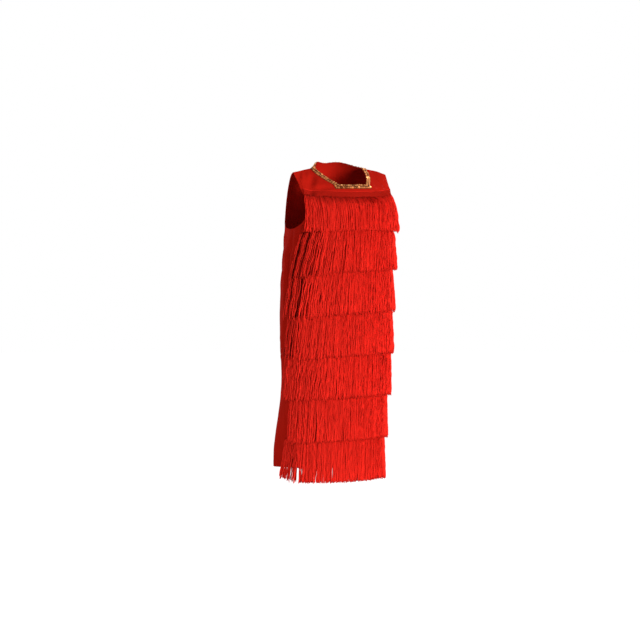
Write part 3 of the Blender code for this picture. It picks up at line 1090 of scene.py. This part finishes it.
# Inner and outer face of the strands: off the tape to a knee, then out to the tips. At the
# wearer's left the knee is nearer the cloth.
def stance(along, knee, root, atLeft):
    bend = [mix(a, b, atLeft) for a, b in zip(strand["kneeStance"], strand["leftKneeStance"])]
    if along < knee:
        return [mix(a, b, along / knee) for a, b in zip(root, bend)]
    share = (along - knee) / (1 - knee)
    return [mix(a, b, share) for a, b in zip(bend, strand["tipStance"])]


# Two waves, each a length, a phase and a height
def makeWaves(dice, lengths, size):
    return [(dice.uniform(*lengths), dice.uniform(0, 2 * pi), size * dice.uniform(*strand["waveSpread"]))
            for _ in range(2)]


def waveAt(waves, down):
    return sum(size * sin(2 * pi * down / length + phase) for length, phase, size in waves)


# Clumps: strands draw together towards the tips and leave gaps between them
Clump = namedtuple("Clump", "waves place target pull start lift tone")


def makeClumps(dice, length):
    clumps = []
    place, beyond = clumping["margins"]
    while place < length + beyond:
        clumps.append(Clump(
            makeWaves(dice, clumping["waves"], clumping["wave"]), place,
            place + dice.gauss(0, clumping["shift"]), dice.uniform(*clumping["pull"]),
            dice.uniform(*clumping["start"]), dice.gauss(0, clumping["lift"]),
            dice.gauss(0, strand["toneSpread"])))
        place += clumping["pitch"] * dice.uniform(*clumping["spacing"])
    return clumps


# Every strand of a tier as its tone, with painted shade in it, and its rings, each with a
# centre, the way out of the cloth, and the length down to it, shifted by where the painted
# root shade starts, for the yarn's finish
def hangStrands(number, tier):
    dice = Random(strand["seed"] + number)
    first = number == 1
    end = ends.get(number, noEnd)
    steps = 300  # of the line through the strands' roots
    bearings, length = evenBearings(tier.top - tape["height"], tier.start, tier.stop, steps)
    clumps = makeClumps(dice, length)
    knee, rootStance = strand["firstStance" if first else "stance"]
    rings = strand["rings"]
    count = round(length / strand["pitch"])

    def bearingAt(place):
        share = place / length * steps
        k = clamp(int(share), 0, steps - 1)
        return mix(bearings[k], bearings[k + 1], share - k)

    # a draw that is wider for a looser strand
    def spread(least, more, loose):
        return dice.gauss(0, least + more * loose)

    strands = []
    for layer, level in enumerate(strand["layers"]):
        for k in range(count):
            place = k + 0.5 + 0.5 * (layer % 2) + dice.uniform(-strand["scatter"], strand["scatter"])
            place = clamp(place * length / count, strand["margin"], length - strand["margin"])
            clump = min(clumps, key=lambda c: abs(c.place - place))
            target = clump.target + dice.gauss(0, clumping["strandShift"])
            root = bearingAt(place)
            atEnd = root < end.bearing
            if atEnd and dice.random() < end.thin:
                continue
            # how it hangs, and its root and tip
            loose = tier.loose * looseness(root) * (end.loose if atEnd else 1.0)
            pull = loose * clump.pull * (clumping["innerPull"] if layer == 0 else 1.0)
            swing = leanAt(tier, root) + dice.gauss(0, strand["leanSpread"])
            endShare = (end.bearing - root) / (end.bearing - tier.start) if atEnd else 0.0
            top = tapeTop(tier, root) - tape["height"] + strand["tuck"]
            if first:
                top += dice.uniform(*strand["firstRoots"])
            tip = tier.top - tier.drop + spread(*strand["tipSpread"], loose) + strand["tipLift"]
            tip -= tier.sag * smooth((strand["sagFrom"] - root) / strand["sagOver"])
            atLeft = smooth((root - strand["leftFrom"]) / strand["leftOver"])
            tip += dice.gauss(0, strand["leftTipSpread"]) * atLeft
            if dice.random() < strand["shortChance"] * loose:
                tip += dice.uniform(*strand["shortBy"])
            if atEnd:
                tip += end.rise * endShare
                swing += end.lean * mix(strand["endLeanFrom"], 1.0, endShare)
            elif root - end.bearing < end.short:
                tip = max(tip, dress["hem"] + dice.uniform(0.0, strand["hemSpread"]))
            if layer < strand["innerLayers"]:
                tip += strand["innerTipLift"]
            # its course between them
            sideWaves = makeWaves(dice, strand["waves"], strand["wave"])
            depthWaves = makeWaves(dice, strand["waves"], strand["wave"])
            drift = spread(*strand["drift"], loose)
            # Where the painted shade near the tape starts: at random on the first tier, past the roots on
            # the others
            paintedShadeStart = dice.uniform(*strand["firstPaintedRootShade"]) if first else strand["paintedRootShade"]
            rise = clamp(level + clump.lift + dice.gauss(0, strand["levelSpread"]), *strand["levelLimits"])
            centres = []
            for ring in range(rings + 1):
                along = ring / rings
                height = mix(top, tip, along)
                down = top - height
                ramp = smooth(down / strand["waveRamp"])
                draw = pull * smooth((along - clump.start) / clumping["drawnOver"])
                sideways = (target - place) * draw + drift * along * along
                wave = waveAt(clump.waves, down) + waveAt(sideWaves, down)
                sideways += min(loose, strand["waveMost"]) * ramp * wave
                inner, outer = stance(along, knee, rootStance, atLeft)
                offset = tier.flare * mix(inner, outer, rise) + ramp * waveAt(depthWaves, down)
                offset = clamp(offset, strand["offCloth"], tier.flare * strand["flareMost"])
                bearing = bearingAt(place + sideways) + swing * along
                normal = outward(bearing, height)
                centres.append((clothPoint(bearing, height) + offset * normal, normal, down + paintedShadeStart))
            # The strand's tone: a share that differs at random, less the painted shade at the tier's right
            # end
            shade = loose * (clump.tone + dice.gauss(0, strand["toneSpread"]))
            paintedShadeShare = max(strand["endPaintedShadeLeast"], 1 - layer / strand["endPaintedShadeLayers"])
            shade -= end.shade * smooth(2 * endShare) * paintedShadeShare
            strands.append((strand["layerTonesWithPaintedShade"][layer] + shade, centres))
    return strands


def makeStrands(number, tier):
    strands = hangStrands(number, tier)
    rings, sides = strand["rings"], strand["sides"]
    mesh = bmesh.new()
    owner = mesh.verts.layers.int.new("owner")
    corner = mesh.verts.layers.int.new("corner")
    tone = mesh.verts.layers.float.new("tone")
    down = mesh.verts.layers.float.new("down")

    # moves a vertex to its corner of a ring
    def put(vertex, ring):
        centres = strands[vertex[owner]][1]
        centre, normal, fall = centres[ring]
        ahead = centres[min(rings, ring + 1)][0] - centres[max(0, ring - 1)][0]
        side = ahead.cross(normal).normalized()
        front = side.cross(ahead).normalized()
        angle = 2 * pi * (vertex[corner] + 0.5) / sides
        thick = mix(strand["radius"], strand["tipRadius"], ring / rings)
        thick *= {0: strand["rootTaper"], rings: strand["tipTaper"]}.get(ring, 1.0)
        vertex.co = centre + thick * (cos(angle) * side + sin(angle) * front)
        vertex[down] = fall

    for k in range(len(strands)):
        made = bmesh.ops.create_circle(mesh, cap_ends=True, segments=sides, radius=strand["radius"])
        for side, vertex in enumerate(made["verts"]):
            vertex[owner] = k
            vertex[corner] = side
            vertex[tone] = strands[k][0]
            put(vertex, 0)
    made = bmesh.ops.extrude_face_region(mesh, geom=mesh.faces[:])
    tops = [item for item in made["geom"] if isinstance(item, bmesh.types.BMFace)]
    for ring in range(1, rings + 1):
        if ring > 1:
            tops = bmesh.ops.extrude_discrete_faces(mesh, faces=tops)["faces"]
        for face in tops:
            for vertex in face.verts:
                put(vertex, ring)
    bmesh.ops.recalc_face_normals(mesh, faces=mesh.faces[:])
    return finishPiece("strands_%d" % number, mesh, redYarn, smoothAngle=180, flatSides=sides)


fringePieces = []
for number, tier in enumerate(tiers, start=1):
    strands = makeStrands(number, tier)
    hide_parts("fringe_tier_%d" % number)
    fringePieces += [makeTape(number, tier), strands]
print("fringe ready")

# The sequin braid round the neckline
braid = {
    "netGap": 0.0003,
    "netThickness": 0.0006,
    "netMargin": 0.04,  # share of the trim's width
    "netColumns": 150,
    "netRows": 6,
    "rowsAt": (0.25, 0.76),
    "seed": 5,
}
sequin = {
    "radius": 0.0027,
    "radiusSpread": (0.94, 1.05),
    "pitch": 0.0059,
    "sides": 14,
    "lift": 0.0017,
    "tilt": 12.0,
    "tiltSpread": 20.0,
    "sideTilt": 0.35,
    "tone": 0.86,
    "toneSpread": 0.36,
    # the cup from its back to its middle: shares of the radius and heights
    "rings": ((1.0, -0.0001), (1.0, 0.00012), (0.78, -0.00006), (0.3, -0.00032)),
    "beadRadius": 0.0007,
    "beadLift": 0.0004,
    "beadTone": 0.9,
}


# Place on the braid: t runs 0 to 3 from the right shoulder seam round the neckline to the
# left one, with the corners at 1 and 2, and w runs from the neckline, 0, to the outer edge, 1
def braidPlace(t, w, front):
    low, high = middleColumn - grid["neckColumn"], middleColumn + grid["neckColumn"]
    depth = grid["topRow"] - grid["neckRow"]
    foot = grid["neckRow"] - w
    if t < 1:
        return placeAt(low - w, foot + (depth + w) * (1 - t), front)
    if t <= 2:
        return placeAt(low - w + (high - low + 2 * w) * (t - 1), foot, front)
    return placeAt(high + w, foot + (depth + w) * (t - 2), front)


def braidPoint(t, w, front, offset):
    return onPanel(braidPlace(t, w, front), front, offset)


def makeNet(name, front):
    mesh = bmesh.new()
    bmesh.ops.create_grid(mesh, x_segments=braid["netColumns"], y_segments=braid["netRows"], size=0.5)
    inward = mesh.verts.layers.float_vector.new("inward")
    for vertex in mesh.verts:
        t = 3 * (vertex.co.x + 0.5)
        w = braid["netMargin"] + (1 - 2 * braid["netMargin"]) * (vertex.co.y + 0.5)
        vertex.co, normal = braidPoint(t, w, front, braid["netGap"] + braid["netThickness"])
        vertex[inward] = -braid["netThickness"] * normal
    thicken(mesh, inward)
    return finishPiece(name, mesh, goldNet)


# Even steps along one row of the braid, with the direction at each
def braidSteps(w, front, pitch, phase, fine=600):
    points = [braidPoint(3 * k / fine, w, front, 0)[0] for k in range(fine + 1)]
    lengths = lengthsAlong(points)
    count = round((lengths[-1] - pitch) / pitch)
    steps = []
    for number in range(count):
        k, _ = stepAt(lengths, lengths[-1] * (number + 0.5 + phase) / (count + phase))
        steps.append((3 * k / fine, (points[k + 1] - points[k]).normalized()))
    return steps


# A cupped disc with a tilt of its own. It gives back the direction it faces, for its bead.
def addSequin(mesh, tone, centre, along, normal, dice):
    value = clamp(dice.gauss(sequin["tone"], sequin["toneSpread"]))
    radius = sequin["radius"] * dice.uniform(*sequin["radiusSpread"])
    turn = radians(dice.gauss(sequin["tilt"], sequin["tiltSpread"]))
    lean = dice.uniform(-sequin["sideTilt"], sequin["sideTilt"])
    across = normal.cross(along).normalized()
    axis = (normal * cos(turn) - along * sin(turn) + across * lean).normalized()
    first = (along - axis * along.dot(axis)).normalized()
    second = axis.cross(first)
    sides = sequin["sides"]
    rim = bmesh.ops.create_circle(mesh, cap_ends=True, segments=sides, radius=radius)["verts"]
    disc = rim[0].link_faces[0]
    made = [rim]
    for _ in sequin["rings"][1:]:
        disc = bmesh.ops.extrude_discrete_faces(mesh, faces=[disc])["faces"][0]
        made.append(list(disc.verts))
    for ring, (share, up) in zip(made, sequin["rings"]):
        for k, vertex in enumerate(ring):
            angle = 2 * pi * k / sides
            spoke = cos(angle) * first + sin(angle) * second
            vertex.co = centre + axis * up + radius * share * spoke
            vertex[tone] = value
    return axis


# A bead or a stitch, drawn out along the cloth
def addBead(mesh, centre, along, normal, halfLength, radius):
    across = normal.cross(along).normalized()
    ball = bmesh.ops.create_icosphere(mesh, subdivisions=1, radius=1.0)["verts"]
    for vertex in ball:
        co = vertex.co
        vertex.co = centre + along * co.x * halfLength + across * co.y * radius + normal * co.z * radius
    return ball


def makeSequins(name, front):
    dice = Random(braid["seed"] + (1 if front else 2))
    mesh = bmesh.new()
    tone = mesh.verts.layers.float.new("tone")
    beads = []
    for row, w in enumerate(braid["rowsAt"]):
        for t, along in braidSteps(w, front, sequin["pitch"], 0.5 * row):
            point, normal = braidPoint(t, w, front, sequin["lift"])
            axis = addSequin(mesh, tone, point, along, normal, dice)
            beads.append((point + axis * sequin["beadLift"], along, axis))
    for bead in beads:
        for vertex in addBead(mesh, *bead, sequin["beadRadius"], sequin["beadRadius"]):
            vertex[tone] = sequin["beadTone"]
    bmesh.ops.recalc_face_normals(mesh, faces=mesh.faces[:])
    return finishPiece(name, mesh, goldSequins, smoothAngle=35)


braidPieces = {}
for side, front in (("front", True), ("back", False)):
    net = makeNet("braid_net_" + side, front)
    sequins = makeSequins("sequins_" + side, front)
    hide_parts("neck_trim_" + side)
    braidPieces[side] = [net, sequins]
print("braid ready")

# Stitching: rows of short stitches that lie in the cloth
stitch = {
    "length": 0.0024,
    "pitch": 0.0036,
    "radius": 0.00028,
    "lift": 0.0002,
    "insideHem": 0.0015,
    "belowTapeTop": 0.0035,
    "aboveUnderarm": 0.4,  # rows of the grid
    "armholeSteps": 160,
    "steps": 240,
}


# Stitches along a route of points, each with the way out of the cloth
def addStitches(mesh, route):
    lengths = lengthsAlong([point for point, _ in route])
    count = int(lengths[-1] / stitch["pitch"])
    for number in range(count):
        k, share = stepAt(lengths, (number + 0.5) * lengths[-1] / count)
        (before, normal), (after, _) = route[k:k + 2]
        along = (after - before).normalized()
        addBead(mesh, before.lerp(after, share), along, normal, 0.5 * stitch["length"], stitch["radius"])


# Beside the turned hem of an armhole: the edge column and its neighbour give the way inwards
def armholeStitches(edgeColumn, nextColumn, front):
    first = grid["bodyRows"] + stitch["aboveUnderarm"]
    steps = stitch["armholeSteps"]
    for k in range(steps + 1):
        row = mix(first, grid["topRow"], k / steps)
        places = [placeAt(column, row, front) for column in (edgeColumn, nextColumn)]
        edge, inner = (plainPoint(place, front) for place in places)
        share = (panel["hemWidth"] - stitch["insideHem"]) / (inner - edge).length
        yield onPanel([mix(a, b, share) for a, b in zip(*places)], front, stitch["lift"])


def bottomStitches(front):
    body = dress["underarm"] - dress["hem"]
    row = (panel["bottomHemWidth"] - stitch["insideHem"]) / body * grid["bodyRows"]
    for k in range(stitch["steps"] + 1):
        yield onPanel(placeAt(grid["columns"] * k / stitch["steps"], row, front), front, stitch["lift"])


def tapeStitches(tier):
    lift = tape["gap"] + tape["thickness"] + stitch["lift"]
    for k in range(stitch["steps"] + 1):
        bearing = mix(tier.start, tier.stop, k / stitch["steps"])
        yield onCloth(bearing, tapeTop(tier, bearing) - stitch["belowTapeTop"], lift)


def makeStitching(name, front):
    last = grid["columns"]
    routes = [armholeStitches(0, 1, front), armholeStitches(last, last - 1, front), bottomStitches(front)]
    if front:
        routes += [tapeStitches(tier) for tier in tiers]
    mesh = bmesh.new()
    for route in routes:
        addStitches(mesh, list(route))
    return finishPiece(name, mesh, redThread)


frontStitching = makeStitching("stitching_front", True)
backStitching = makeStitching("stitching_back", False)
print("stitching ready")

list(braidPieces["front"])
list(braidPieces["back"])

# Camera, floor, backdrop and light
studio = {
    "cameraAt": (-2.981, -4.503, -0.193),
    "cameraLooksAt": (-0.0403, 0.0262, -0.368),
    "lens": 125.6,
    "lampsLookAt": (0, 0, -0.36),
    "floor": -1.093,
    "floorGlow": 0.95,
    "floorShade": 0.16,
    "backdropGlow": 1.0,
    "backdropShade": 0.0,
    "world": 0.4,
    "radius": 14.0,
}
# Lamps: place, size in metres and power in watts, all turned to the middle of the dress
Lamp = namedtuple("Lamp", "name place size power")
lamps = (
    Lamp("key", (0.75, -3.7, -0.10), 1.3, 166),
    Lamp("lowFill", (-1.3, -0.9, -1.1), 0.8, 8.0),
    Lamp("back", (3.2, 2.2, 0.5), 1.4, 98),
    Lamp("backFill", (-1.3, 3.6, 0.4), 1.2, 43),
)


def lookAt(thing, target):
    thing.rotation_euler = (Vector(target) - thing.location).to_track_quat("-Z", "Y").to_euler()


# A stage piece that the camera sees and that sheds no light on the dress
def addStage(name, mesh):
    paper, _, shader = newMaterial(name + "Paper", 0.9, 0.0)
    shade = studio[name + "Shade"]
    shader.inputs["Base Color"].default_value = (shade, shade, shade, 1)
    shader.inputs["Emission Color"].default_value = (1, 1, 1, 1)
    shader.inputs["Emission Strength"].default_value = studio[name + "Glow"]
    piece = addObject(name, meshData(name, mesh, paper))
    piece.visible_diffuse = False
    piece.visible_glossy = False
    piece.visible_shadow = False


def makeStudio():
    camera = addObject("camera", bpy.data.cameras.new("camera"))
    camera.data.lens = studio["lens"]
    camera.location = studio["cameraAt"]
    lookAt(camera, studio["cameraLooksAt"])
    bpy.context.scene.camera = camera
    floor = bmesh.new()
    bmesh.ops.create_circle(floor, cap_ends=True, segments=64, radius=studio["radius"])
    for vertex in floor.verts:
        vertex.co.z = studio["floor"]
    addStage("floor", floor)
    backdrop = bmesh.new()
    bmesh.ops.create_uvsphere(backdrop, u_segments=48, v_segments=24, radius=studio["radius"])
    addStage("backdrop", backdrop)
    world = bpy.data.worlds.new("studio")
    world.use_nodes = True
    world.node_tree.nodes["Background"].inputs["Color"].default_value = (1, 1, 1, 1)
    world.node_tree.nodes["Background"].inputs["Strength"].default_value = studio["world"]
    bpy.context.scene.world = world
    for lamp in lamps:
        light = bpy.data.lights.new(lamp.name, "AREA")
        light.size = lamp.size
        light.energy = lamp.power
        made = addObject(lamp.name, light)
        made.location = lamp.place
        made.visible_camera = False
        lookAt(made, studio["lampsLookAt"])
    bpy.context.scene.view_settings.view_transform = "Standard"


makeStudio()
print("studio ready")
